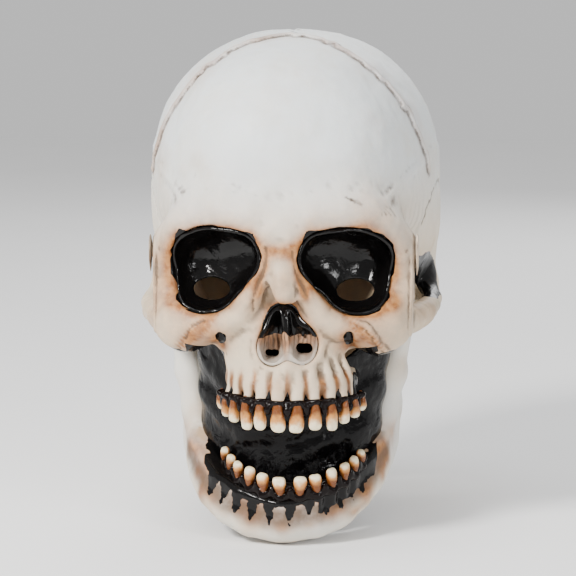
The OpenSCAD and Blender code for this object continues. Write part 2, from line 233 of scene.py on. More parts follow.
class Clay:
    """A block of clay: a grid of signed distances in mm, cut and added to by forms."""

    def __init__(self, lo, hi, step):
        self.step = step
        self.axes = [np.arange(a, b + step, step, dtype=np.float32) for a, b in zip(lo, hi)]
        self.d = np.full([len(a) for a in self.axes], FAR, np.float32)

    def copy(self):
        out = Clay.__new__(Clay)
        out.step, out.axes, out.d = self.step, self.axes, self.d.copy()
        return out

    def window(self, lo, hi):
        """The part of the grid in a box: its slices and its open coordinate arrays."""
        cuts = []
        for axis, a, b in zip(self.axes, lo, hi):
            i = max(0, int(np.searchsorted(axis, a)) - 1)
            cuts.append(slice(i, max(i, min(len(axis), int(np.searchsorted(axis, b)) + 1))))
        x, y, z = (a[c] for a, c in zip(self.axes, cuts))
        return tuple(cuts), x[:, None, None], y[None, :, None], z[None, None, :]

    def add(self, form, k=0.5, both=False):
        for f in ([form, form.mirrored()] if both else [form]):
            m = k + 3 * self.step
            w, x, y, z = self.window(f.lo - m, f.hi + m)
            self.d[w] = blend_min(self.d[w], f.distance(x, y, z), k)

    def cut(self, form, k=0.5, both=False):
        for f in ([form, form.mirrored()] if both else [form]):
            m = k + 3 * self.step
            w, x, y, z = self.window(f.lo - m, f.hi + m)
            self.d[w] = -blend_min(-self.d[w], f.distance(x, y, z), k)

    def draw(self, path, width, height, both=False):
        """Raises a line by height, or sinks it where height is under 0. Width is to the line's edge."""
        line = rope(path, [0.0] * len(path))
        for f in ([line, line.mirrored()] if both else [line]):
            w, x, y, z = self.window(f.lo - 2.5 * width, f.hi + 2.5 * width)
            self.d[w] -= height * np.exp(-(f.distance(x, y, z) / width) ** 2)

    def press(self, at, r, depth, both=False):
        """A soft hollow, or a swelling where depth is under 0."""
        for side in ((1, -1) if both else (1,)):
            a = np.array([at[0] * side, at[1], at[2]], float)
            w, x, y, z = self.window(a - 2.5 * np.array(r), a + 2.5 * np.array(r))
            q = ((x - a[0]) / r[0]) ** 2 + ((y - a[1]) / r[1]) ** 2 + ((z - a[2]) / r[2]) ** 2
            self.d[w] += depth * np.exp(-q)

    def relief(self, noise, height):
        """Hand-worked unevenness, only near the surface."""
        i = np.nonzero(np.abs(self.d) < 4)
        self.d[i] -= height * noise(self.axes[0][i[0]], self.axes[1][i[1]], self.axes[2][i[2]])

    def even(self):
        """Makes the field a true distance near its surface."""
        slope = np.sqrt(sum(g * g for g in np.gradient(self.d, self.step)))
        self.d = np.clip(self.d / np.clip(slope, 0.4, 2.5), -FAR, FAR).astype(np.float32)

    def at(self, points):
        """The field at any points, by trilinear interpolation."""
        lo = np.array([a[0] for a in self.axes])
        q = (np.asarray(points) - lo) / self.step
        q = np.clip(q, 0, np.array(self.d.shape) - 1.001)
        i = q.astype(int)
        f = q - i
        value = 0
        for dx in (0, 1):
            for dy in (0, 1):
                for dz in (0, 1):
                    share = np.abs(1 - dx - f[:, 0]) * np.abs(1 - dy - f[:, 1]) * np.abs(1 - dz - f[:, 2])
                    value = value + share * self.d[i[:, 0] + dx, i[:, 1] + dy, i[:, 2] + dz]
        return value

    def slope(self, points, h=1.0):
        """The outward direction of the surface at points."""
        out = np.stack([self.at(points + h * e) - self.at(points - h * e) for e in np.eye(3)], axis=1)
        return out / np.maximum(np.linalg.norm(out, axis=1, keepdims=True), 1e-6)

    def land(self, points, centre):
        """Moves each point along its ray from a centre onto the surface."""
        points = np.array(points, float)
        centre = np.broadcast_to(np.array(centre, float), points.shape)
        ray = (points - centre) / np.linalg.norm(points - centre, axis=1, keepdims=True)
        reach = np.linalg.norm(points - centre, axis=1)
        near, far = reach * 0.6, reach * 1.5
        for _ in range(18):
            mid = (near + far) / 2
            inside = self.at(centre + ray * mid[:, None]) < 0
            near, far = np.where(inside, mid, near), np.where(inside, far, mid)
        return centre + ray * near[:, None]

    def hollowness(self):
        """A new block that holds how hollow the surface is: over 0 in creases, under 0 on edges."""
        out = Clay.__new__(Clay)
        out.step, out.axes = self.step, self.axes
        flat = np.zeros_like(self.d)
        for axis in range(3):
            n = self.d.shape[axis]
            mid = self.d.take(range(2, n - 2), axis)
            bend = self.d.take(range(4, n), axis) + self.d.take(range(0, n - 4), axis) - 2 * mid
            keep = [slice(None)] * 3
            keep[axis] = slice(2, n - 2)
            flat[tuple(keep)] -= bend / (2 * self.step) ** 2
        out.d = flat
        return out

    def mesh(self, adaptivity):
        """Points in mm and faces of the surface, with the faces looking outwards."""
        grid = openvdb.FloatGrid(FAR)
        grid.copyFromArray(self.d)
        points, tris, quads = grid.convertToPolygons(isovalue=0.0, adaptivity=adaptivity)
        points = points * self.step + np.array([a[0] for a in self.axes])
        return points, quads.tolist() + tris.tolist()


def smooth(path, n):
    """A smooth curve through a few points, with n points to each stretch."""
    p = np.array(path, float)
    q = np.vstack([2 * p[0] - p[1], p, 2 * p[-1] - p[-2]])
    out = []
    for i in range(1, len(q) - 2):
        for t in np.linspace(0, 1, n, endpoint=False):
            a, b, c, d = q[i - 1], q[i], q[i + 1], q[i + 2]
            bend = (2 * a - 5 * b + 4 * c - d) * t ** 2
            out.append(0.5 * (2 * b + (c - a) * t + bend + (3 * b - a - 3 * c + d) * t ** 3))
    out.append(p[-1])
    return np.array(out)


def ragged(path, sway, seed):
    """The same path with each point knocked sideways."""
    path = np.array(path, float)
    return path + np.random.default_rng(seed).uniform(-sway, sway, path.shape)


def step_up(value, low, high):
    """0 below low, 1 above high, smooth between."""
    t = np.clip((value - low) / (high - low), 0, 1)
    return t * t * (3 - 2 * t)


def opened(points):
    """Turns points laid out with the jaw closed to where the jaw rests."""
    a = math.radians(JAW_OPEN)
    m = np.array([[1, 0, 0], [0, math.cos(a), -math.sin(a)], [0, math.sin(a), math.cos(a)]])
    return np.asarray(points) @ m.T


def make_object(name, points, faces, paint=None, normals=None):
    """An object from points in mm. paint has four numbers a point: brown with painted shade, gloss black with
    painted shade, dark creases with painted shade, warmth with painted light.
    """
    mesh = bpy.data.meshes.new(name)
    mesh.from_pydata((np.asarray(points) * MM).tolist(), [], faces)
    mesh.polygons.foreach_set("use_smooth", [True] * len(mesh.polygons))
    if paint is not None:
        layer = mesh.attributes.new("paint", "FLOAT_COLOR", "POINT")
        layer.data.foreach_set("color", np.clip(paint, 0, 1).astype(np.float32).ravel())
    if normals is not None:
        mesh.normals_split_custom_set_from_vertices(np.asarray(normals).tolist())
    obj = bpy.data.objects.new(name, mesh)
    bpy.context.scene.collection.objects.link(obj)
    return obj


def clay_object(name, clay, paint=None, place=None):
    """The clay's surface as an object, painted by a function of its points and moved by another."""
    points, faces = clay.mesh(MESH_EASE)
    normals = clay.slope(points)
    colours = paint(points, normals) if paint else None
    if place:
        normals = place(normals)
        points = place(points)
    return make_object(name, points, faces, colours, normals)


# ---------------------------------------------------------------- materials
def material(name):
    """A new material and two helpers: one adds a node, the other links two sockets."""
    m = bpy.data.materials.new(name)
    m.use_nodes = True
    tree = m.node_tree
    tree.nodes.clear()
    out = tree.nodes.new("ShaderNodeOutputMaterial")
    shader = tree.nodes.new("ShaderNodeBsdfPrincipled")
    tree.links.new(shader.outputs[0], out.inputs["Surface"])

    def node(kind, **inputs):
        n = tree.nodes.new("ShaderNode" + kind)
        for key, value in inputs.items():
            key = key.replace("_", " ")
            if key in n.inputs:
                n.inputs[key].default_value = value
            else:
                setattr(n, key.replace(" ", "_"), value)
        return n

    return m, shader, node, tree.links.new


def noise(node, link, where, scale, detail=4.0, rough=0.6, warp=0.0):
    n = node("TexNoise", Scale=scale, Detail=detail, Roughness=rough, Distortion=warp)
    link(where, n.inputs["Vector"])
    return n.outputs["Fac"]


def ramp(node, link, value, low, high, a=0.0, b=1.0):
    """Maps a value from low..high to a..b, held at the ends."""
    n = node("MapRange", interpolation_type="SMOOTHSTEP")
    for key, v in (("From Min", low), ("From Max", high), ("To Min", a), ("To Max", b)):
        n.inputs[key].default_value = v
    link(value, n.inputs["Value"])
    return n.outputs["Result"]


def maths(node, link, how, a, b):
    n = node("Math", operation=how)
    for i, v in enumerate((a, b)):
        if isinstance(v, (int, float)):
            n.inputs[i].default_value = v
        else:
            link(v, n.inputs[i])
    return n.outputs[0]


def mixed(node, link, share, a, b):
    """Two colours mixed. Each is a socket or three numbers."""
    n = node("Mix", data_type="RGBA")
    for key, v in ((0, share), (6, a), (7, b)):
        if isinstance(v, (int, float)):
            n.inputs[key].default_value = v
        elif isinstance(v, tuple):
            n.inputs[key].default_value = (*v, 1.0)
        else:
            link(v, n.inputs[key])
    return n.outputs[2]


def bumped(node, link, shader, height, strength, distance):
    n = node("Bump", Strength=strength, Distance=distance)
    link(height, n.inputs["Height"])
    link(n.outputs["Normal"], shader.inputs["Normal"])


def painted_latex(name, lumps=0.0):
    """Latex painted as old bone: white, airbrushed brown, dark in its creases, gloss black in places. The
    brown, the dark creases and the black also carry painted shade, and the warmth a painted cool highlight.
    """
    m, shader, node, link = material(name)
    where = node("TexCoord").outputs["Object"]
    paint = node("VertexColor", layer_name="paint")
    parts = node("SeparateColor")
    link(paint.outputs["Color"], parts.inputs["Color"])
    stain_and_shade, black, crease_and_shade = parts.outputs[0], parts.outputs[1], parts.outputs[2]
    warmth_and_painted_light = paint.outputs["Alpha"]
    clouds = noise(node, link, where, 26.0, 5.0, 0.62)
    fine = noise(node, link, where, 170.0, 4.0, 0.65)
    grit = noise(node, link, where, 900.0, 2.0, 0.5)
    # warmth mixes a cool bluish white and a warm cream: on the skull the cool top is a painted highlight, and
    # the warm lower face is partly paint tone and partly painted shade
    colour = mixed(node, link, warmth_and_painted_light, (0.66, 0.70, 0.715), (0.71, 0.585, 0.41))
    colour = mixed(node, link, ramp(node, link, clouds, 0.42, 0.72, 0.0, 0.30), colour, (0.62, 0.56, 0.45))
    # the brown airbrush, which on the skull also carries painted shade low on the face and on the sides
    stained = maths(node, link, "MULTIPLY", stain_and_shade, ramp(node, link, clouds, 0.2, 0.65, 0.75, 1.1))
    tone = mixed(node, link, ramp(node, link, fine, 0.35, 0.65), (0.24, 0.085, 0.024), (0.42, 0.19, 0.065))
    colour = mixed(node, link, stained, colour, tone)
    # dark wash in the creases: partly the paint's own wash, partly painted shade
    wash_and_shade = maths(node, link, "MULTIPLY", crease_and_shade, ramp(node, link, fine, 0.25, 0.6, 0.6, 1.0))
    colour = mixed(node, link, wash_and_shade, colour, (0.060, 0.038, 0.024))
    fray = maths(node, link, "MULTIPLY", maths(node, link, "SUBTRACT", fine, 0.5), 0.5)
    edge = maths(node, link, "ADD", black, fray)
    coat = ramp(node, link, edge, 0.44, 0.58)
    colour = mixed(node, link, coat, colour, (0.003, 0.0026, 0.0026))
    link(colour, shader.inputs["Base Color"])
    rough = ramp(node, link, fine, 0.3, 0.7, 0.40, 0.56)
    rough = maths(node, link, "SUBTRACT", rough, maths(node, link, "MULTIPLY", coat, 0.36))
    link(rough, shader.inputs["Roughness"])
    height = maths(node, link, "ADD", maths(node, link, "MULTIPLY", fine, 0.5),
                   maths(node, link, "MULTIPLY", grit, 0.12))
    if lumps:
        swell = noise(node, link, where, 85.0, 3.0, 0.5, 0.8)
        height = maths(node, link, "ADD", height, maths(node, link, "MULTIPLY", swell, lumps * 8))
    bumped(node, link, shader, height, 0.35, 0.0012)
    shader.inputs["Specular IOR Level"].default_value = 0.22
    shader.inputs["Subsurface Weight"].default_value = 0.06
    shader.inputs["Subsurface Radius"].default_value = (0.004, 0.002, 0.001)
    return m


def gloss_black(name, rough, tint):
    """Thick gloss black latex paint with a lumpy, crinkled skin."""
    m, shader, node, link = material(name)
    where = node("TexCoord").outputs["Object"]
    lumps = noise(node, link, where, 75.0, 3.0, 0.55, 0.6)
    fine = noise(node, link, where, 420.0, 3.0, 0.6)
    colour = mixed(node, link, ramp(node, link, lumps, 0.6, 0.85, 0.0, 0.4), tint, (0.020, 0.012, 0.008))
    link(colour, shader.inputs["Base Color"])
    link(ramp(node, link, fine, 0.3, 0.7, rough * 0.7, rough * 1.7), shader.inputs["Roughness"])
    height = maths(node, link, "ADD", lumps, maths(node, link, "MULTIPLY", fine, 0.15))
    bumped(node, link, shader, height, 0.55, 0.0025)
    shader.inputs["Specular IOR Level"].default_value = 0.14
    return m


def enamel(name):
    """Glossy cast tooth: cream at the tip, red-brown at the gum, with fine lengthwise streaks."""
    m, shader, node, link = material(name)
    where = node("TexCoord").outputs["Object"]
    paint = node("VertexColor", layer_name="paint")
    parts = node("SeparateColor")
    link(paint.outputs["Color"], parts.inputs["Color"])
    flow = node("Mapping")
    flow.inputs["Scale"].default_value = (1.0, 1.0, 0.22)
    link(where, flow.inputs["Vector"])
    streak = noise(node, link, flow.outputs[0], 900.0, 4.0, 0.6)
    cloud = noise(node, link, where, 220.0, 3.0, 0.5)
    patchy = maths(node, link, "MULTIPLY", maths(node, link, "SUBTRACT", cloud, 0.5), 0.55)
    worn = maths(node, link, "ADD", parts.outputs[0], patchy)
    colour = mixed(node, link, ramp(node, link, worn, 0.08, 0.42), (0.88, 0.77, 0.52), (0.55, 0.24, 0.06))
    colour = mixed(node, link, ramp(node, link, worn, 0.36, 0.78), colour, (0.15, 0.045, 0.010))
    colour = mixed(node, link, ramp(node, link, streak, 0.50, 0.75, 0.0, 0.35), colour, (0.26, 0.11, 0.04))
    link(colour, shader.inputs["Base Color"])
    link(ramp(node, link, cloud, 0.3, 0.7, 0.16, 0.32), shader.inputs["Roughness"])
    bumped(node, link, shader, streak, 0.30, 0.0006)
    shader.inputs["Specular IOR Level"].default_value = 0.35
    shader.inputs["Subsurface Weight"].default_value = 0.10
    shader.inputs["Subsurface Radius"].default_value = (0.002, 0.001, 0.0005)
    return m


def foam(name):
    """Open-cell foam: dark grey with small pores, darker in their hollows as painted shade."""
    m, shader, node, link = material(name)
    where = node("TexCoord").outputs["Object"]
    cells = node("TexVoronoi", Scale=620.0)
    link(where, cells.inputs["Vector"])
    pits_and_shade = ramp(node, link, cells.outputs["Distance"], 0.0, 0.55)
    patchy = noise(node, link, where, 60.0, 3.0, 0.5)
    # painted shade: the colour is darkest in the middle of each pit
    colour = mixed(node, link, pits_and_shade, (0.035, 0.035, 0.038), (0.15, 0.15, 0.16))
    colour = mixed(node, link, ramp(node, link, patchy, 0.35, 0.7, 0.0, 0.4), colour, (0.20, 0.20, 0.21))
    link(colour, shader.inputs["Base Color"])
    shader.inputs["Roughness"].default_value = 0.95
    shader.inputs["Sheen Weight"].default_value = 0.2
    bumped(node, link, shader, pits_and_shade, 0.8, 0.0008)
    return m


def woven(name, dark, light, pitch):
    """A plain weave. pitch is the threads' spacing in metres."""
    m, shader, node, link = material(name)
    where = node("TexCoord").outputs["UV"]
    waves = []
    for turn in (0.0, math.pi / 2):
        flow = node("Mapping")
        flow.inputs["Rotation"].default_value = (0, 0, turn)
        link(where, flow.inputs["Vector"])
        w = node("TexWave", Scale=1 / pitch / 20, Distortion=0.4, Detail=1.0)
        link(flow.outputs[0], w.inputs["Vector"])
        waves.append(w.outputs["Fac"])
    weave = maths(node, link, "MAXIMUM", waves[0], waves[1])
    fuzz = noise(node, link, node("TexCoord").outputs["Object"], 300.0, 4.0, 0.6)
    tone = maths(node, link, "MULTIPLY", weave, ramp(node, link, fuzz, 0.25, 0.7, 0.6, 1.0))
    link(mixed(node, link, tone, dark, light), shader.inputs["Base Color"])
    shader.inputs["Roughness"].default_value = 0.85
    shader.inputs["Sheen Weight"].default_value = 0.25
    bumped(node, link, shader, weave, 0.6, 0.0004)
    return m


def give(obj, mat):
    obj.data.materials.clear()
    obj.data.materials.append(mat)


def settle(obj, mat, body, node):
    """Gives a piece its material and its body, and hides the CAD node that it stands for."""
    give(obj, mat)
    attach(obj, body)
    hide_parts(node)


BONE = painted_latex("bone_latex_paint")
SOCKET = painted_latex("socket_latex_paint", 0.26)
GUM = gloss_black("gum_latex_paint", 0.10, (0.004, 0.002, 0.0018))
SKIN = gloss_black("membrane_latex_skin", 0.13, (0.002, 0.0018, 0.002))
TOOTH = enamel("tooth_enamel")
FOAM = foam("foam_cells")
ELASTIC = woven("elastic_weave", (0.004, 0.004, 0.004), (0.045, 0.045, 0.05), 0.0007)
CLOTH = woven("cloth_weave", (0.30, 0.26, 0.19), (0.66, 0.60, 0.47), 0.0006)
LUMPS = Noise(9.0, 3)
PITS = Noise(3.6, 5)
DRIFT = Noise(26.0, 8)


# ---------------------------------------------------------------- the skull's forms
def tube(low, high):
    """An upright tapered oval column. Each end is (z, middle y, half width, half depth)."""
    def distance(x, y, z):
        t = np.clip((z - low[0]) / (high[0] - low[0]), 0, 1)
        t = t * t * (3 - 2 * t)
        cy, a, b = (low[i] + (high[i] - low[i]) * t for i in (1, 2, 3))
        k = np.sqrt((x / a) ** 2 + ((y - cy) / b) ** 2 + 1e-9)
        slope = np.sqrt((x / a ** 2) ** 2 + ((y - cy) / b ** 2) ** 2) / k
        return np.maximum((k - 1) / np.maximum(slope, 1 / 90.0), np.maximum(low[0] - z, z - high[0]))
    r = max(low[2], high[2])
    return Form((-r, low[1] - low[3] - 9, low[0]), (r, high[1] + high[3] + 9, high[0]), distance)


def on_arch(a, b, mid_y, t, z):
    """A point on a row of teeth, t degrees round from the front."""
    t = math.radians(t)
    return (BITE_X + a * math.sin(t), mid_y - b * math.cos(t), z)


def orbit(grow=0.0):
    """The left socket's hollow, from four eggs that give it its drooping outer corner."""
    return joined([egg((26, EYE[1] - 11, 48), (18, 20, 18)), egg((51, EYE[1] - 1, 43), (19.5, 22, 21)),
                   egg((38, EYE[1] - 6, 46), (25, 21, 22.5), 2.2), egg((47, EYE[1] - 4, 31), (22, 21, 19))],
                  5).grown(grow)


def nose_hole(grow=0.0):
    """The nose's hollow: an upside-down heart, lower on the mask's right."""
    return joined([egg((NOSE_X - 3.5, -115, 9), (10.5, 14, 13)), egg((NOSE_X + 8.5, -112, -5), (9.5, 14, 12)),
                   egg((NOSE_X - 10, -112, -6.5), (9.5, 14, 11.5))], 9).grown(grow)


BRAINCASE = [(egg((0, 26, CROWN_Z - 100.5), (HALF_W - 1, BACK_Y - 27.5, 98.5), 2.25), 1),
             (egg((0, -32, 86), (79, 75, 88), 2.2), 26),
             (egg((0, 32, 52), (88, 79, 44)), 20),
             (tube((SKULL_LO[2], 26, 57, 54), (50, 36, 80, 66)), 16),
             (egg((0, -22, 22), (63, 58, 36)), 14)]
FACE = [(egg((0, -84, 56), (66, 26, 24), 2.3), 14),
        (egg((0, -81, 24), (67, 23, 36), 2.6), 10),
        (egg((0, -88, -10), (37, 29, 32), 2.2), 14),
        (egg((BITE_X, -80, -31), (42, 40, 12), 2.3), 8)]
ROOT_ANGLES = [7.5, 21, 34, 46, 57, 68]
GAP_ANGLES = [side * t for side in (1, -1) for t in (0, 14.2, 27.5, 40, 51.5, 62)]


def skull_clay():
    """The skull's skin, its plain inner form, its flesh before the openings are cut, and its creases."""
    c = Clay((-102, -128, -84), (102, 122, 190), 1.0)
    for form, k in BRAINCASE + FACE:
        c.add(form, k)
    c.cut(egg((92, -48, 30), (27, 25, 29)), 14, both=True)
    c.press((30, -115, -6), (13, 9, 11), 4.0, both=True)
    c.press((0, 114, 47), (30, 10, 9), -2.5)
    c.even()
    inner = c.copy()
    inner.d += WALL

    # brow, the rims of the sockets and the cheekbones
    c.add(rope([(7, -101, 67), (20, -102, 73), (36, -99, 76), (52, -92, 74), (64, -83, 66), (72, -75, 53)],
               [8, 9.5, 9, 8, 8, 7.5]), 20, both=True)
    c.add(rope([(72, -75, 53), (75, -76, 38), (74, -79, 22), (68, -84, 8)], [7.5, 7, 8, 10]), 12, both=True)
    c.add(egg((61, -87, 1), (18, 15, 16), 2.0, (0, 0, 28)), 11, both=True)
    c.add(rope([(64, -92, 8), (52, -100, 4), (38, -105, 5), (26, -109, 12), (17, -112, 26),
                (12, -111, 42), (9, -108, 58)],
               [8, 8, 8, 7, 6, 6.5, 8]), 8, both=True)
    c.add(rope([(0, -106, 64), (1, -110, 50), (2, -116, 36), (NOSE_X - 2, -119, 27)], [8, 7, 7, 5.5]), 9)
    c.add(rope([(66, -82, 3), (77, -64, 4), (86, -44, 6), (90.5, -24, 8), (90, 0, 9), (84, 22, 15)],
               [11, 9.5, 8, 6.8, 6.8, 9]), 7, both=True)
    c.add(egg((82, 30, 22), (10, 18, 16)), 14, both=True)
    c.add(egg((66, 30, -10), (13, 16, 22), 2.0, (10, 0, 0)), 14, both=True)
    rng = np.random.default_rng(7)
    for t in ROOT_ANGLES[:5]:
        for side in (1, -1):
            top = (-9 if t > 40 else -15) + rng.uniform(-3, 3)
            r = (4.5 if t < 30 else 4.0) * rng.uniform(0.9, 1.08)
            bend = side * t * 0.97 + rng.uniform(-1.6, 1.6)
            c.add(rope([on_arch(44.5, 47.5, -72, side * t, GUM_TOP + 1),
                        on_arch(43.2, 46.2, -71.5, bend, -30),
                        on_arch(42, 44.5, -71.5, bend + rng.uniform(-1, 1), -23),
                        on_arch(38, 39, -71, side * t * 0.93, top)],
                       [r, r * 0.82, r * 0.72, 2.2]), 2.4)
    c.add(rope([(NOSE_X, -116, -21), (NOSE_X, -118, -28)], [3.2, 2.2]), 5)
    c.add(rope([(NOSE_X - 21, -105, -6), (NOSE_X - 18, -107, -14), (NOSE_X - 10, -112, -20),
                (NOSE_X, -115, -18), (NOSE_X + 9, -112, -19),
                (NOSE_X + 18, -108, -13), (NOSE_X + 20, -105, -4)], [2.2, 3.0, 3.0, 3.2, 3.2, 3.0, 2.2]), 3.5)

    # hollows
    c.press((22, -118, 92), (22, 14, 12), 1.2, both=True)
    c.press((34, -98, 108), (18, 16, 16), -1.8, both=True)
    c.press((50, 86, 118), (30, 26, 26), -2.0, both=True)
    c.press((0, -112, 60), (7, 8, 4), 1.6)
    c.press((70, -70, -12), (10, 16, 8), 3.5, both=True)

    # openings
    flesh = c.copy()
    c.cut(orbit(0.15), 3.0, both=True)
    c.cut(nose_hole(0.15), 2.2)

    # raised coronal lip, sutures, cracks and foramina
    turns = np.linspace(-84, 84, 57)
    lip = np.array([(89 * math.sin(math.radians(t)), -13 - 24 * abs(math.sin(math.radians(2 * t))),
                     84 + 98 * math.cos(math.radians(t))) for t in turns])
    lip = c.land(ragged(lip, 2.6, 11), (0, 10, 70))
    c.draw(lip, 2.6, 2.6)
    c.draw(lip + (0, -3.6, 0), 1.5, -1.6)
    c.draw(lip + (0, 4.2, 0), 2.2, -1.0)
    c.draw(c.land([(0, y, 180) for y in np.linspace(0, 96, 40)] + ragged(np.zeros((40, 3)), 2.4, 12),
                  (0, 30, 80)), 1.3, -1.2)
    for side in (1, -1):
        path = [(0, 118, 138), (18 * side, 118, 128), (40 * side, 112, 104), (58 * side, 100, 78),
                (70 * side, 84, 52)]
        c.draw(c.land(ragged(smooth(path, 8), 2.2, 13 + side), (0, 30, 70)), 1.4, -1.3)
        path = [(92 * side, -30, 62), (94 * side, -14, 78), (95 * side, 10, 86), (94 * side, 36, 80),
                (88 * side, 58, 62), (80 * side, 74, 48)]
        c.draw(c.land(ragged(smooth(path, 7), 1.8, 17 + side), (0, 10, 60)), 1.3, -1.1)
        path = [(72 * side, -96, 84), (84 * side, -66, 96), (92 * side, -30, 104),
                (95 * side, 10, 108), (92 * side, 50, 100)]
        c.draw(c.land(smooth(path, 7), (0, 10, 70)), 3.0, 0.9)
    cheek_l = smooth([(47, -107, 9), (54, -104, 5), (59, -99, -4), (64, -94, -11)], 6)
    cheek_r = cheek_l * (-1, 1, 1)
    c.draw(ragged(c.land(cheek_l, (50, -70, 0)), 0.9, 21), 1.3, 1.5)
    c.draw(ragged(c.land(cheek_r, (-50, -70, 0)), 0.7, 22), 1.2, -1.1)
    c.draw(c.land([(-73, -82, 50), (-66, -90, 44), (-76, -78, 46)], (-40, -60, 46)), 1.0, -0.8)
    c.draw(c.land([(73, -82, 50), (66, -90, 44), (76, -78, 46)], (40, -60, 46)), 1.0, -0.8)
    for x, z in FORAMINA:
        here = c.land([(x, -112, z)], (x, -60, z))[0]
        c.cut(egg(here + (0, 0, 1), (2.6, 4.5, 4.4)), 2.0)
        c.draw(c.land([(x + 1, -112, z - 5), (x + 3, -114, z - 14)], (x, -60, z)), 2.0, -1.0)
    for path in ([(-7, -112, 52), (-8.5, -114, 42), (-12, -112, 30), (-15, -112, 18)],
                 [(8, -112, 50), (10, -114, 40), (14, -112, 30), (19, -110, 16)]):
        c.draw(c.land(smooth(path, 6), (2, -70, 30)), 1.3, -1.3)
    for k in range(9):
        x = 40 + 3.4 * k
        mark = c.land([(x, -108, 86 - 1.2 * k), (x + 5, -106, 83 - 1.2 * k), (x + 9, -102, 80 - 1.5 * k)],
                      (x, -60, 80))
        c.draw(mark, 0.9, -0.35)
    c.relief(DRIFT, 0.8)
    c.relief(LUMPS, 0.42)
    c.relief(PITS, 0.14)

    # inside: a plain skin, room for the face and everything open below
    c.even()
    crease_and_shade = c.hollowness()
    crease_and_shade.lip = rope(lip, [0.0] * len(lip))
    c.d = np.maximum(c.d, -inner.d)
    c.cut(orbit(0.15), 0.8, both=True)
    c.cut(nose_hole(0.15), 0.8)
    c.cut(prism([(-200, -200), (-200, GUM_TOP + 0.3), (-58, GUM_TOP + 0.3), (-50, -11),
                 (-10, -9), (14, -50), (26, -72), (60, -79), (200, -79), (200, -200)],
                0, -200, 200), 1.2)
    c.cut(prism([(48, 38), (48, -46), (28, -86), (-28, -86), (-48, -46), (-48, 38)], 2, -200, 4, 6.0), 2.0)
    c.cut(prism([(-2, -200), (2, -200), (2, 24), (0, 27), (-2, 24)], 1, 40, 200), 0.6)
    return c, inner, flesh, crease_and_shade


def near(form, points):
    """The distance of each point from a form, in mm."""
    return form.distance(*np.asarray(points, float).T)


def bell(value, at, width):
    """1 at a value, falling off smoothly over a width on each side."""
    return np.exp(-((value - at) / width) ** 2)


def medial_wall(x, y, z):
    """The bone-coloured slope at the socket's inner corner, next to the nose."""
    reach = 15.5 + 0.60 * (40 - z)
    return (step_up(reach - np.abs(x), -1.0, 1.5) * step_up(z, 17, 22) * step_up(50 - z, 0, 5)
            * step_up(-y, 90, 95))


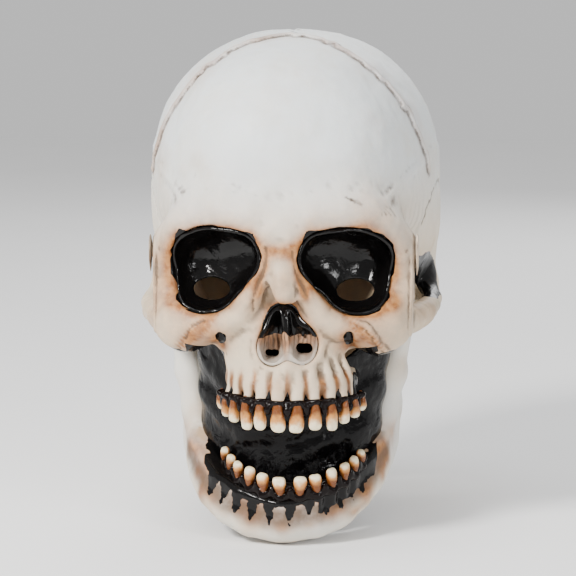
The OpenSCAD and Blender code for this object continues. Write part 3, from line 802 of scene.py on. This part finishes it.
def skull_paint(points, normals):
    """Brown, gloss black, dark creases and warmth for each point of the skull's skin, each carrying some
    painted shade, and the warmth a painted cool highlight on top.
    """
    x, y, z = points.T
    wander, speckle, drift = LUMPS(x, y, z), PITS(x, y, z), DRIFT(x, y, z)
    side = np.sign(x)
    ax = np.abs(x)
    face = step_up(-y, 55, 80)
    eye = np.minimum(near(orbit(), points), near(orbit().mirrored(), points))
    nose = near(nose_hole(), points)
    outside = INNER.at(points) > 0.9

    # gloss black: ragged rims of the sockets and the nose, between the roots, the cheeks' flanks and the
    # temple's recess, whose black on the mask's left (+X) also stands in for painted shade on the side turned
    # from the key light
    tuft = 2.6 * np.maximum(wander, 0) * step_up(z, 48, 62) + 0.9 * wander + 0.7 * speckle
    black = (1.0 - step_up(eye - tuft, 0.0, 1.6)) * (1 - 0.95 * medial_wall(x, y, z))
    black = np.maximum(black, 1.0 - step_up(nose - 0.7 * wander - 0.8 * step_up(z, 0, 12), -0.6, 0.9))
    angle = np.degrees(np.arctan2((x - BITE_X) / 44.5, -(y - UPPER_MID_Y) / 47.5))
    gap = np.min([np.abs(angle - g) for g in GAP_ANGLES], axis=0)
    wedge = step_up(GUM_TOP + 7.5 - z - gap * 2.1 + 3.4 * wander, 0, 2.5) * (y < -84) * (z < -22)
    flank = (step_up(ax - 0.8 * BITE_X * side + 0.9 * wander, 38.5, 41.5)
             * step_up(-10 - z + 0.22 * (ax - 38), 0, 3) * (y < -46) * (ax < 60))
    # black paint in the temple's recess, strongest on the mask's left (+X), where it also stands in for
    # painted shade on the side turned from the key light
    recess_black_and_shade = step_up(bell(ax, 90, 13) * bell(z, 25, 16) * bell(y, -10, 32) * np.where(side > 0, 1.0, 0.40)
                     + 0.12 * wander, 0.34, 0.46)
    line = step_up(bell(z - 0.30 * (ax - 60), -14, 2.2) * bell(ax, 62, 13) * face, 0.5, 0.8)
    black = np.max([black, 0.95 * wedge, flank, recess_black_and_shade, 0.85 * line], axis=0)
    holes = [np.hypot((x - hx) / 2.8, (z + 2) / 4.6) * (1 + 0.2 * speckle) for hx in (42, -37)]
    black = np.maximum(black, np.max([1 - step_up(h, 0.9, 1.2) for h in holes], axis=0) * (y < -90))

    # brown airbrush: round the sockets and the nose, over the nose's root, on the cheeks, the teeth's roots
    # and the raised lip; browner low on the face and on the sides of the head as painted shade
    soft = 0.75 + 0.5 * wander + 0.35 * drift
    stain_and_shade = 1.0 * np.exp(-np.maximum(eye, 0) / 3.6) * soft + 0.46 * np.exp(-np.maximum(eye, 0) / 13.0)
    stain_and_shade += (0.8 * np.exp(-np.maximum(nose, 0) / 2.2) * soft * step_up(z, -16, 4)
              + 0.36 * np.exp(-np.maximum(nose, 0) / 9.0))
    stain_and_shade += 0.45 * bell(ax, 63, 9) * bell(z, 17, 11) * face * soft
    stain_and_shade += 0.8 * bell(z, 54 + 2 * wander, 4.5) * bell(x, 1, 18) * (y < -92)
    sides_of_nose = bell(ax - 0.12 * side * NOSE_X, 10.5 + 0.26 * (44 - z), 3.2) * bell(z, 34, 15) * (y < -95)
    stain_and_shade += 0.75 * sides_of_nose * soft
    # painted shade: browner low on the face
    stain_and_shade += 0.16 * step_up(-z, 16, 30) * (y < -70)
    grooves = (1 - step_up(gap + 1.2 * wander, 0.6, 3.4)) * step_up(-z + 3 * wander, 18, 27) * (y < -70)
    stain_and_shade += 0.85 * grooves
    for s_, strength in ((1, 0.5), (-1, 0.85)):
        band = bell(x * s_ * 0.72 + z * 0.70, 38.5, 3.6) * bell(z, 0, 12) * face * (x * s_ > 38)
        hatch = step_up(np.sin((x * s_ * 0.70 - z * 0.72) * 2.6 + 2.5 * wander), -0.6, 0.5)
        stain_and_shade += 1.25 * strength * band * (0.5 + 0.5 * hatch)
    stain_and_shade += 0.85 * (bell(x, 42, 7) + bell(x, -37, 7)) * bell(z, -4, 10) * (y < -92) * soft
    stain_and_shade += 0.45 * bell(ax, 52, 20) * bell(z, -5, 12) * face
    lip = CREASE.lip.distance(x, y, z)
    stain_and_shade += 0.55 * np.exp(-(lip / 3.0) ** 2) * (0.6 + 0.6 * wander) + 0.18 * np.exp(-lip / 9.0)
    stain_and_shade += 0.22 * step_up(drift + 0.4 * wander, 0.1, 0.8) * (0.4 + 0.6 * step_up(-z, -110, -30))
    # painted shade: browner on the sides of the head
    stain_and_shade += 0.28 * bell(ax, 86, 14) * bell(z, 20, 46) * step_up(-y, 10, 50)

    # dark wash in creases, which also stands in for shade there, streaks on the temples, painted shade on the
    # inside of the cheek arches and a painted shadow beside the raised lip
    crease_and_shade = (0.95 * step_up(CREASE.at(points), 0.05, 0.20) * (0.75 + 0.3 * speckle)
              * (1 - 0.85 * bell(ax, 69, 6) * bell(z, 30, 26) * face))
    crease_and_shade = np.maximum(crease_and_shade, 0.74 * grooves * step_up(-z, 20, 34))
    crease_and_shade = np.maximum(crease_and_shade, 0.6 * bell(x - 0.26 * (44 - z), 11.5, 1.6) * bell(z, 34, 12) * (y < -95))
    # painted shadow: a dark line along the foot of the raised lip
    crease_and_shade = np.maximum(crease_and_shade, 0.85 * np.exp(-((lip - 3.6) / 1.1) ** 2)
                        * step_up(wander + speckle, -0.7, 0.3))
    streak = (step_up(np.sin(y * 0.9 + 5 * wander + 0.06 * z), 0.1, 0.9) * bell(ax, 88, 12)
              * bell(z, 42, 30) * step_up(-y, 16, 40))
    crease_and_shade = np.maximum(crease_and_shade, 0.60 * streak)
    # painted shade: darker where the surface turns inwards behind the cheek arches
    under = (step_up(-normals[:, 0] * side, -0.15, 0.5) * step_up(ax, 64, 72) * bell(z, 4, 22)
             * step_up(30 - y, 0, 20))
    crease_and_shade = np.maximum(crease_and_shade, 0.8 * under)
    arch = bell(z, 6, 9) * step_up(ax, 80, 88) * bell(y, -20, 34)
    crease_and_shade = np.maximum(crease_and_shade, 0.42 * arch * step_up(wander + 0.6 * speckle, -0.6, 0.5))
    # painted light: the cool bluish top is a painted highlight from the cool top light, and the warm cream
    # lower face is partly the paint's tone and partly painted shade
    warmth_and_painted_light = 0.06 + 0.82 * step_up(-z + 14 * drift, -125, -20)
    black = np.where(outside, black, step_up(-y, 18, 34) * step_up(8 - z, 0, 6))
    crease_and_shade = np.where(outside, crease_and_shade, 0.12)
    stain_and_shade = np.where(outside, stain_and_shade, 0.42 + 0.2 * drift)
    warmth_and_painted_light = np.where(outside, warmth_and_painted_light, 1.0)
    return np.stack([np.clip(stain_and_shade, 0, 0.95), black, np.clip(crease_and_shade, 0, 0.92), warmth_and_painted_light], axis=1)


SKULL, INNER, FLESH, CREASE = skull_clay()
skull = clay_object("skull_skin", SKULL, skull_paint)
settle(skull, BONE, "skull", "skull_shell")

# ---------------------------------------------------------------- black cups in the sockets and the nose
def trim(clay, inset):
    """Cuts away what stands in front of the sculpted face."""
    x, y, z = np.meshgrid(*clay.axes, indexing="ij")
    face = FLESH.at(np.stack([x.ravel(), y.ravel(), z.ravel()], axis=1)).reshape(x.shape)
    clay.d = np.maximum(clay.d, np.where(y < -78, face + inset, -FAR)).astype(np.float32)


def cup_paint(points, normals):
    x, y, z = points.T
    rim = np.exp(-np.abs(np.abs(x) - 60) / 7) * bell(z, 30, 18) * step_up(-y, 84, 100)
    out = np.zeros((len(points), 4))
    out[:, 0] = 0.55 * bell(np.abs(x), 10.5, 4) + 0.9 * rim
    out[:, 1] = 1.0 - 0.62 * rim
    out[:, 2] = 0.25 * bell(z, 34, 3)
    out[:, 3] = 0.8
    return out


for side, s in SIDES.items():
    c = Clay((-74, -122, 6) if s < 0 else (4, -122, 6), (-4, -68, 72) if s < 0 else (74, -68, 72), 0.7)
    form = orbit() if s > 0 else orbit().mirrored()
    c.add(form, 0.3)
    c.relief(LUMPS, 0.7)
    c.relief(PITS, 0.25)
    c.cut(form.grown(-2.0), 0.6)
    trim(c, 0.8)
    turn = np.linspace(0, 2 * math.pi, 25)[:-1]
    hole = [(s * EYE_HOLE[0] + EYE_HOLE_R[0] * math.cos(a), EYE_HOLE[1] + EYE_HOLE_R[1] * math.sin(a))
            for a in turn]
    c.cut(prism(hole, 1, -140, -40), 1.0)
    cup = clay_object(side + "_eye_cup_skin", c, cup_paint)
    settle(cup, SOCKET, "skull", side + "_eye_cup")

c = Clay((-20, -126, -24), (32, -84, 30), 0.6)
c.add(nose_hole(), 0.3)
c.relief(LUMPS, 0.6)
c.cut(nose_hole(-2.0), 0.6)
c.add(rope([(NOSE_X - 4, -108, 16), (NOSE_X - 3, -108, 6), (NOSE_X - 1, -109, -6), (NOSE_X, -110, -14)],
           [1.6, 1.8, 2.2, 3.4]), 3.5)
c.add(egg((NOSE_X - 1, -102, 0), (1.8, 9, 18)), 2.0)
for x in (-13, -10.5, -8, 8, 11, 13.5):
    c.add(rope([(NOSE_X + x, -103, 4), (NOSE_X + x * 1.05, -104, -12)], [0.8, 1.0]), 1.5)
for x, z, r in NOSTRILS:
    c.add(rope([(x, -99, z), (x, -91, z + 6)], [r + 3.2, r + 2.2]), 2.0)
for x, z, r in NOSTRILS:
    for dx in (-1.8, 1.8):
        c.cut(rope([(x + dx, -116, z - 1), (x + dx, -99, z), (x + dx, -84, z + 12)], [r, r, r]), 1.5)
trim(c, 1.0)


def nose_paint(points, normals):
    x, y, z = points.T
    wander = LUMPS(x, y, z) + 0.5 * PITS(x, y, z)
    low = step_up(1 - z + 3.0 * wander, -1, 4)
    septum = bell(x - NOSE_X, -2.5 - 0.1 * z, 2.2) * (y < -103)
    streaks = step_up(np.sin(x * 2.4 + 2 * wander), 0.1, 0.8)
    out = np.zeros((len(points), 4))
    out[:, 1] = 1.0 - np.maximum(low, septum * step_up(6 - z, 0, 6) * 0.9) * step_up(-y, 99.5, 100.5)
    slots = bell(np.abs(x - NOSE_X) - 10, 0, 6) * bell(z, -10, 6)
    out[:, 0] = np.clip(0.85 * bell(z, -1, 7) + 0.6 * slots + 0.5 * septum * step_up(9 - z, 0, 6), 0, 0.9)
    out[:, 2] = 0.75 * streaks * bell(z, 0, 8) + 0.45 * slots + 0.2
    out[:, 3] = 0.5
    return out


cup = clay_object("nasal_cup_skin", c, nose_paint)
settle(cup, BONE, "skull", "nasal_cup")

# ---------------------------------------------------------------- teeth, from the middle outwards
TOOTH_W = [9.4, 8.2, 8.0, 7.2, 6.8, 6.2]
TOOTH_L = [1, 0.97, 1.03, 0.85, 0.7, 0.5]
CANINE = 2


def tooth_clay(w, h, pointed, seed):
    """A tooth that hangs below the origin, where its gum line is, with its face towards -Y."""
    c = Clay((-8, -7, -h - 3), (8, 7, 6), 0.4)
    c.add(egg((0, 0.2, 0.5), (w * 0.28, 2.8, 4.5)), 0.5)
    c.add(egg((0, -0.3, -h * 0.45), (w * 0.42, 3.1, h * 0.45), 2.3), 2.5)
    c.add(egg((0, 0.1, -h * 0.70), (w * (0.42 if pointed else 0.48), 2.2, h * 0.31), 3.0), 2.0)
    c.press((0, 3.4, -h * 0.75), (w * 0.3, 1.6, h * 0.3), 0.7)
    for x in (-w * 0.2, w * 0.2):
        c.draw([(x, -3.6, -h * 0.2), (x, -2.9, -h * 0.95)], 0.7, -0.20)
    c.relief(Noise(3.0, seed), 0.22)
    c.relief(Noise(1.3, seed + 40), 0.08)
    return c


def tooth_paint(length, seed):
    """The paint function of one tooth: stained towards its gum, a little differently on each."""
    rng = np.random.default_rng(seed)
    lift = rng.uniform(-0.08, 0.10)

    def paint(points):
        x, y, z = points.T
        at_gum = np.clip(1.08 + z / length + lift + 0.10 * PITS(x * 2, y * 2, z * 0.7), 0, 1)
        edge = 0.30 * step_up(np.abs(x), 2.6, 4.6)
        out = np.zeros((len(points), 4))
        out[:, 0] = np.clip(at_gum ** 1.5 + edge * at_gum + 0.35 * (y > 1), 0, 1)
        return out
    return paint


def turned(points, degrees, at, flip):
    """Turns points about Z, after turning them upside down where flip is true, and moves them."""
    p = np.array(points, float)
    if flip:
        p[:, 2] *= -1
    a = math.radians(degrees)
    x, y = p[:, 0].copy(), p[:, 1].copy()
    p[:, 0], p[:, 1] = x * math.cos(a) - y * math.sin(a), x * math.sin(a) + y * math.cos(a)
    return p + at


UPPER_GUM_Z = GUM_TOP - 2.7
for side, s in SIDES.items():
    for n in range(TEETH_A_SIDE):
        t = s * ROOT_ANGLES[n]
        for row in ("upper", "lower"):
            upper = row == "upper"
            seed = 60 + n * 4 + (s > 0) * 2 + upper
            rng = np.random.default_rng(seed)
            w = TOOTH_W[n] * (1.0 if upper else 0.92) * rng.uniform(0.97, 1.03)
            h = 16.5 * TOOTH_L[n] if upper else 10.5 * (0.25 + 0.75 * TOOTH_L[n])
            h *= rng.uniform(0.93, 1.0)
            tip = rng.uniform(-1.3, 1.3)
            c = tooth_clay(w, h, n == CANINE, seed)
            lean = rng.uniform(-9, 9)
            rise = 0.0 if upper else LOWER_RISE * (1 - math.cos(math.radians(t)))
            if upper:
                at = np.array(on_arch(47, 50, UPPER_MID_Y, t, UPPER_GUM_Z))
            else:
                at = np.array(on_arch(46, 48, LOWER_MID_Y, t, LOWER_GUM_Z + rise))
            points, faces = c.mesh(0.01)
            normals = c.slope(points, 0.5)
            colours = tooth_paint(h, seed)(points)
            points[:, 0] += tip * np.clip(-points[:, 2] / h, 0, 1)
            points = turned(points, t + lean, at, not upper)
            normals = turned(normals, t + lean, 0, not upper)
            if not upper:
                faces = [f[::-1] for f in faces]
                points, normals = opened(points), opened(normals)
            node = f"{row}_tooth_{side}_{n + 1}"
            tooth = make_object(node + "_cast", points, faces, colours, normals)
            settle(tooth, TOOTH, "skull" if upper else "jaw", node)

# ---------------------------------------------------------------- gums
def gum_clay(a, b, mid_y, z, r, reach, seed, dip, rise=0.0):
    """A lumpy bar along a row of teeth, scalloped round each of them."""
    c = Clay((-54 + BITE_X, mid_y - b - 9, z - 10), (54 + BITE_X, mid_y + 9, z + 10 + rise), 0.7)

    def up(t):
        return z + rise * (1 - math.cos(math.radians(t)))

    path = [on_arch(a, b, mid_y, t, up(t)) for t in np.linspace(-reach, reach, 41)]
    c.add(rope(path, [r] * len(path)), 0.5)
    for s in (1, -1):
        for n in range(TEETH_A_SIDE):
            at = on_arch(a + 1.5, b + 1.5, mid_y, s * ROOT_ANGLES[n], up(ROOT_ANGLES[n]))
            c.add(egg(np.array(at) + (0, -0.4, -dip * 1.6), (3.4, 3.0, 2.2)), 2.2)
        for t in GAP_ANGLES[:6]:
            at = np.array(on_arch(a + 2.2, b + 2.2, mid_y, s * t, up(t) + dip * 0.6))
            c.add(egg(at + (0, 0, dip * 2.6), (1.9, 2.2, 3.6)), 2.0)
    c.relief(Noise(4.5, seed), 0.55)
    c.relief(Noise(2.0, seed + 1), 0.2)
    return c


gum = clay_object("upper_gum_skin", gum_clay(45.6, 48.6, UPPER_MID_Y, GUM_TOP - 1.8, 2.8, 74, 31, -1))
settle(gum, GUM, "skull", "upper_gum")
gum = clay_object("lower_gum_skin", gum_clay(45, 47, LOWER_MID_Y, LOWER_GUM_Z - 3.1, 3.6, 74,
                                             35, 1, LOWER_RISE), None, opened)
settle(gum, GUM, "jaw", "lower_gum")

# ---------------------------------------------------------------- the jaw
def gum_line(y):
    """Height of the lower gum line with the jaw closed, which climbs towards the back."""
    return LOWER_GUM_Z + LOWER_RISE * (1 + (y - LOWER_MID_Y) / 48)


def jaw_solid():
    """The closed jaw as one lump: a plate to each hinge end, a body round the front and the chin."""
    c = Clay((-84, -132, -118), (84, 14, 12), 0.9)
    ramus = [(71.5, 1, -4), (71, -30, -6), (67, -18, -34), (63.5, -22, -58), (62.5, -42, -54), (66, -34, -28)]
    for three in ((0, 2, 5), (1, 2, 5), (2, 3, 5), (3, 4, 5)):
        for i, j in zip(three, three[1:] + three[:1]):
            c.add(rope([ramus[i], ramus[j]], [4.0, 4.0]), 9, both=True)
    c.add(rope([(71.5, 1, -4), (69, -6, -22), (65, -14, -44), (61.5, -25, -66)], [6, 5.5, 6, 8]),
          7, both=True)
    c.add(rope([(71, -31, -7), (65.2, -35, -24), (62, -42, -42), (58, -53, -60), (54.5, -64, -70)],
               [4.4, 5.6, 7.6, 9, 9.5]), 9, both=True)
    c.add(egg((61.5, -34, -70), (8, 15, 15)), 9, both=True)
    c.add(rope([(60, -34, -76), (56.5, -54, -80), (50.5, -74, -82), (44, -92, -86), (33, -105, -90),
                (18, -114, -92), (0, -117, -92)],
               [9, 11, 13, 12, 12, 12, 12.5]), 9, both=True)
    bar = [(56, -66), (50, -82), (40, -99), (26, -112), (10, -119), (0, -120)]
    c.add(rope([(x, y, gum_line(y) - 8.5) for x, y in bar], [6, 6.5, 6, 5.5, 5.5, 5.5]), 9, both=True)
    c.add(rope([(34, -102, -94), (20, -113, -96.5), (0, -116.5, -97), (-20, -113, -96.5), (-34, -102, -94)],
               [8, 8.5, 8.5, 8.5, 8]), 8)
    c.add(egg((-2, -121, -94), (14, 5.5, 8)), 8)
    return c


def jaw_clay():
    """The jaw's skin with the jaw closed, its plain inner form and its creases."""
    c = jaw_solid()
    c.even()
    inner = c.copy()
    inner.d += WALL
    for t in ROOT_ANGLES[:5]:
        for s in (1, -1):
            foot_z = LOWER_GUM_Z - 6.5 + LOWER_RISE * (1 - math.cos(math.radians(t)))
            base = np.array(on_arch(45.5, 47.5, LOWER_MID_Y, s * t, foot_z))
            c.add(rope([base, base + (-1.0 * s * t / 68, -0.5, -7), base * (0.95, 1, 1) + (0, 1.5, -14)],
                       [4.0, 3.4, 1.8]), 2.6)
    c.press((0, -124, -86), (14, 6, 6), 1.8)
    c.press((34, -108, -80), (9, 8, 8), 1.0, both=True)
    c.press((71, -24, -30), (8, 12, 16), 1.6, both=True)
    for s, seed in ((1, 41), (-1, 42)):
        c.draw(ragged(smooth([(69 * s, -40, -22), (67 * s, -44, -42), (63.5 * s, -54, -60),
                              (58.5 * s, -74, -78)], 7), 0.8, seed), 1.3, -1.2)
        c.draw(ragged(smooth([(70 * s, -18, -62), (67.5 * s, -32, -76), (63 * s, -50, -90)], 6),
                      0.9, seed + 4), 1.2, -0.9)
    for x, z in ((30, -88), (-31, -89)):
        c.press((x, -114, z), (2.2, 4, 2.2), 3.2)
    c.relief(DRIFT, 0.7)
    c.relief(LUMPS, 0.45)
    c.relief(PITS, 0.15)
    crease_and_shade = c.hollowness()
    c.even()
    x, y, z = (g.ravel() for g in np.meshgrid(*c.axes, indexing="ij"))
    back = inner.at(np.stack([x * (1 + 14 / 80), y - 9.8, z - 1.4], axis=1)).reshape(c.d.shape)
    c.d = np.maximum(c.d, -back).astype(np.float32)

    def above_gum(x, y, z):
        return np.maximum(gum_line(y) - 4.0 - z + 0 * x, y + 62)

    c.cut(Form((-90, -140, -84), (90, -62, 20), above_gum), 1.0)
    return c, inner, crease_and_shade


JAW, JAW_INNER, JAW_CREASE = jaw_clay()


def jaw_paint(points, normals):
    """Brown, gloss black, dark creases with painted shade, and warmth that is cooler towards the back as
    painted shade, for each point of the jaw's skin, with the jaw closed.
    """
    x, y, z = points.T
    wander, speckle, drift = LUMPS(x, y, z + 200), PITS(x, y, z + 200), DRIFT(x, y, z + 200)
    outside = JAW_INNER.at(points) > 0.9
    angle = np.degrees(np.arctan2((x - BITE_X) / 45.5, -(y - LOWER_MID_Y) / 47.5))
    gap = np.min([np.abs(angle - g) for g in GAP_ANGLES], axis=0)
    depth = gum_line(y) - z
    front = step_up(-y, 60, 70)
    ragged_depth = depth + 2.2 * wander + 0.8 * speckle
    notch = 1 - step_up(gap + 0.40 * np.maximum(depth - 8, 0) - 1.2 * wander, 4.2, 5.2)
    notch *= step_up(19 - ragged_depth, 0, 1.5)
    rim = step_up(7.0 - depth - 1.0 * wander, 0, 1.2)
    all_black = step_up(15.5 - ragged_depth, 0, 1.5) * step_up(x, 20, 26)
    black = np.max([notch, rim, all_black], axis=0) * front * step_up(56 - np.abs(x - 3) + 1.5 * wander, 0, 3)
    stain_and_shade = 0.95 * step_up(27 - depth + 4 * wander, 0, 12) * front * (0.75 + 0.4 * wander)
    stain_and_shade += 0.25 * step_up(drift + 0.4 * wander, 0.1, 0.8)
    stain_and_shade += 0.75 * bell(np.abs(x), 64, 9) * bell(z, -62, 9) * bell(y, -54, 10)
    stain_and_shade += 0.5 * step_up(-z, 98, 112) * step_up(-y, 60, 90) * (0.5 + 0.5 * wander)
    crease_and_shade = 0.8 * step_up(JAW_CREASE.at(points), 0.06, 0.22) * (0.7 + 0.3 * speckle) * (0.35 + 0.65 * front)
    crease_and_shade = np.maximum(crease_and_shade, 0.78 * step_up(23 - ragged_depth, 0, 8) * front * step_up(depth, 6, 10))
    shade = step_up(-y, 20, 60)
    warmth_and_painted_light = 0.55 + 0.3 * drift
    return np.stack([np.where(outside, np.clip(stain_and_shade, 0, 0.9), 0.5), np.where(outside, black, 0),
                     np.where(outside, np.clip(crease_and_shade, 0, 0.9), 0.1),
                     np.where(outside, np.clip(warmth_and_painted_light * (0.6 + 0.4 * shade), 0, 1), 1.0)], axis=1)


jaw = clay_object("jaw_skin", JAW, jaw_paint, opened)
settle(jaw, BONE, "jaw", "jaw_shell")


# ---------------------------------------------------------------- sheets of mesh
def sheet_object(name, rows, thick, uv=(1.0, 1.0)):
    """A skin through rows of points in mm, thick mm through, with its flat size in metres as its UV."""
    rows = np.array(rows)
    n, m = rows.shape[:2]
    faces = []
    for i in range(n - 1):
        for j in range(m - 1):
            k = j + 1
            faces.append((i * m + j, i * m + k, (i + 1) * m + k, (i + 1) * m + j))
    obj = make_object(name, rows.reshape(-1, 3), faces)
    layer = obj.data.uv_layers.new(name="UVMap")
    for loop in obj.data.loops:
        i, j = divmod(loop.vertex_index, m)
        layer.data[loop.index].uv = (j / (m - 1) * uv[0], i / (n - 1) * uv[1])
    body = obj.modifiers.new("body", "SOLIDIFY")
    body.thickness = thick * MM
    body.offset = 0
    apply(obj)
    return obj


def apply(obj):
    """Replaces the mesh with what its modifiers make of it."""
    done = bpy.data.meshes.new_from_object(obj.evaluated_get(bpy.context.evaluated_depsgraph_get()))
    obj.modifiers.clear()
    obj.data = done
    done.polygons.foreach_set("use_smooth", [True] * len(done.polygons))


# the mouth's black lining, gathered between the skull and the jaw
LINING_LO, LINING_HI = corners("mouth_membrane")
LINING_X = (LINING_LO[0] + LINING_HI[0]) / 2
LINING_ROWS = 61
LINING_COLUMNS = 141


def lining_point(t, v):
    """t runs from -1 to 1 round the mouth, v from 0 at the skull to 1 at the jaw."""
    a = math.radians(100 * t)
    wide, deep = 1 - math.cos(a), abs(math.sin(a)) ** 3
    top = np.array((LINING_X + (50 + 12.5 * deep) * math.sin(a), -44 - 47 * math.cos(a),
                    -30.0 + 28 * min(1.0, 1.7 * wide)))
    low = np.array((LINING_X * 0.8 + (49 + 7 * deep) * math.sin(a), -38 - 45 * math.cos(a),
                    -97.0 + 11 * wide))
    p = top + (low - top) * v
    waist = math.sin(math.pi * v)
    inward = np.array((-math.sin(a), math.cos(a), 0.0))
    fold = 0.9 * math.sin(7 * v * math.pi + 2.2 * math.sin(a * 2.1)) + 0.8 * math.sin(7 * a + 4 * v)
    return p + inward * (2.0 * waist * (1 - deep) + fold * waist)


rows = []
for i in range(LINING_ROWS):
    v = i / (LINING_ROWS - 1)
    rows.append([lining_point(t, v) for t in np.linspace(-1, 1, LINING_COLUMNS)])
rows = np.array(rows)
x, y, z = rows.reshape(-1, 3).T
bump = (0.9 * LUMPS(x, y, z) + 0.5 * PITS(x, y, z)).reshape(rows.shape[:2])
rows[..., 1] += bump
lining = sheet_object("mouth_lining", rows, thick=1.2)
give(lining, SKIN)
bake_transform(lining)
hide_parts("mouth_membrane")


# ---------------------------------------------------------------- foam pads
def pad_object(name, node, body, shape, place=None, step=1.2):
    """A crowned foam pad with a rounded edge, dimpled a little, that fills its CAD node."""
    c = Clay(shape.lo - 4, shape.hi + 4, step)
    c.add(shape, 0.5)
    c.relief(Noise(14.0, len(name)), 0.8)
    c.relief(Noise(4.0, len(name) + 1), 0.25)
    pad = clay_object(name, c, None, place)
    settle(pad, FOAM, body, node)


crown = [egg((0, 8, 157), (52, 58, 13), 2.8), egg((0, 6, 163), (44, 50, 9), 2.4)]
pad_object("crown_cushion", "crown_pad", "skull", joined(crown, 6))
brow = [egg((0, -93, 92), (16, 6, 12), 2.6)]
brow += [egg((s * 22, -90, 92), (18, 5.5, 11.5), 2.6, (0, 0, s * 14)) for s in SIDES.values()]
pad_object("brow_cushion", "brow_pad", "skull", joined(brow, 5))
for side, s in SIDES.items():
    pad_object(side + "_temple_cushion", side + "_temple_pad", "skull",
               egg((80.5 * s, 21, 90), (5, 34, 17), 2.6))
pad_object("nape_cushion", "nape_pad", "skull", egg((0, 101, 82), (45, 6.6, 21), 2.7))
chin = [egg((s * 13, -92, -93), (12, 7, 10.5), 2.5) for s in SIDES.values()]
chin.append(egg((0, -93.5, -94), (16, 6.5, 9.5), 2.5))
pad_object("chin_cushion", "chin_cup", "jaw", joined(chin, 5), opened)

# ---------------------------------------------------------------- straps, webbing and the slit's patch
for side, s in SIDES.items():
    lo, hi = corners(side + "_jaw_elastic")
    mid_x = (lo[0] + hi[0]) / 2
    rows = []
    for v in np.linspace(0, 1, 46):
        z = hi[2] + (lo[2] - hi[2]) * v
        ripple = 0.25 * math.sin(v * 70)
        sway = 0.4 * math.sin(v * 23)
        rows.append([(mid_x + ripple, lo[1] + (hi[1] - lo[1]) * u + sway, z) for u in np.linspace(0, 1, 9)])
    strap = sheet_object(side + "_elastic_strap", rows, thick=1.0, uv=(0.015, 0.044))
    give(strap, ELASTIC)
    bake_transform(strap)
    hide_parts(side + "_jaw_elastic")

rows = []
for u in np.linspace(-1, 1, 61):
    sag = 1.2 * (1 - u * u) - 0.6
    rows.append(opened([(48 * u, -74 + 18 * w, -93 - sag + 0.15 * math.sin(u * 90))
                        for w in np.linspace(0, 1, 9)]))
strap = sheet_object("chin_webbing", rows, thick=1.6, uv=(0.018, 0.096))
settle(strap, ELASTIC, "jaw", "chin_strap")

lo, hi = corners("slit_patch")
rows = []
for v in np.linspace(0, 1, 17):
    z = lo[2] + (hi[2] - lo[2]) * v
    rows.append([(14.6 * u, (100.6 - 4.8 * v) - 1.9 * u * u + 0.15 * math.sin(u * 9 + v * 4), z)
                 for u in np.linspace(-1, 1, 25)])
patch = sheet_object("slit_cloth_patch", rows, thick=0.7, uv=(0.030, 0.020))
settle(patch, CLOTH, "skull", "slit_patch")

# ---------------------------------------------------------------- camera, light and floor
AIM = Vector((-0.0033, 0, 0.0145))
AZIMUTH = math.radians(4.3)
ELEVATION = math.radians(8.0)
DISTANCE = 1.7
FLOOR_GAP = 0.003       # the visual chin's depth below the CAD chin, in metres
back = Vector((math.sin(AZIMUTH) * math.cos(ELEVATION), -math.cos(AZIMUTH) * math.cos(ELEVATION),
               math.sin(ELEVATION)))
camera_data = bpy.data.cameras.new("camera")
camera_data.lens = 162.0
camera_data.sensor_width = 36.0
camera = bpy.data.objects.new("camera", camera_data)
camera.location = AIM + back * DISTANCE
camera.rotation_euler = back.to_track_quat("Z", "Y").to_euler()
bpy.context.scene.collection.objects.link(camera)
bpy.context.scene.camera = camera


def lamp(name, at, size, power, colour=(1, 1, 1)):
    """A round soft light that faces the middle of the mask."""
    data = bpy.data.lights.new(name, "AREA")
    data.shape = "DISK"
    data.size = size
    data.energy = power
    data.color = colour
    obj = bpy.data.objects.new(name, data)
    obj.location = at
    obj.rotation_euler = (Vector(at) - Vector((0, 0, 0.03))).to_track_quat("Z", "Y").to_euler()
    bpy.context.scene.collection.objects.link(obj)


lamp("key", (-0.85, -1.15, 1.0), 0.40, 52.0, (1.0, 0.98, 0.95))
lamp("top", (-0.2, -0.2, 1.6), 0.8, 12.0, (0.93, 0.96, 1.0))
lamp("fill", (1.1, -1.2, 0.5), 0.35, 9.0)
lamp("back", (0.4, 1.5, 0.9), 1.2, 10.0)
world = bpy.data.worlds.new("studio")
world.use_nodes = True
world.node_tree.nodes["Background"].inputs["Color"].default_value = (1.0, 1.0, 1.0, 1)
world.node_tree.nodes["Background"].inputs["Strength"].default_value = 0.68
bpy.context.scene.world = world

floor_z = corners("jaw_shell")[0][2] * MM - FLOOR_GAP
mesh = bpy.data.meshes.new("floor")
mesh.from_pydata([(x, y, floor_z) for x, y in ((-3, -3), (3, -3), (3, 3), (-3, 3))], [], [(0, 1, 2, 3)])
floor = bpy.data.objects.new("floor", mesh)
bpy.context.scene.collection.objects.link(floor)
m, shader, node, link = material("floor_paint")
tone = noise(node, link, node("TexCoord").outputs["Object"], 6.0, 2.0, 0.5)
link(mixed(node, link, tone, (0.86, 0.86, 0.86), (0.89, 0.89, 0.89)), shader.inputs["Base Color"])
shader.inputs["Roughness"].default_value = 0.9
give(floor, m)
floor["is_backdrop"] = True

lo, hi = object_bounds()
